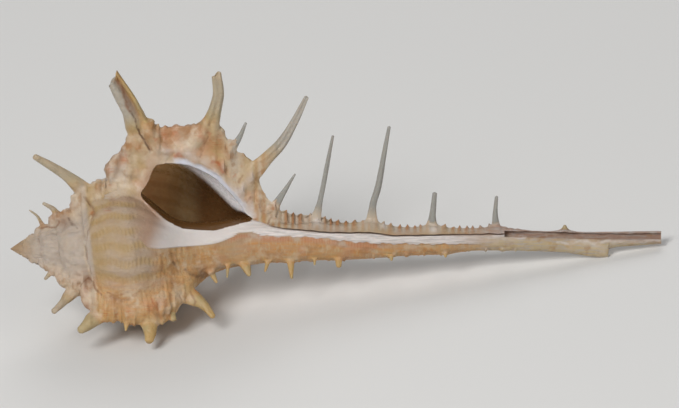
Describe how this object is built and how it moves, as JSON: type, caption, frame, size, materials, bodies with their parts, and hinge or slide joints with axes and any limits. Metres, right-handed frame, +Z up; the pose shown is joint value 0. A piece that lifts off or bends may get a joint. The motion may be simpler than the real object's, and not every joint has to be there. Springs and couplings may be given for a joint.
{
  "type": "caltrop murex shell",
  "caption": "Spined sea shell with a knobbly spire, a globe-shaped body whorl with an open mouth, and a long straight canal; lies on its belly.",
  "frame": {"origin": "centre of the bounding box on the surface the shell lies on", "axes": "+X from the apex towards the tip of the canal, +Z up as the shell rests, -Y the side its opening faces"},
  "size_m": [0.0994, 0.0424, 0.0407],
  "materials": {
    "shell": "satin"
  },
  "bodies": {
    "root": {"shell": "shell"}
  },
  "joints": []
}
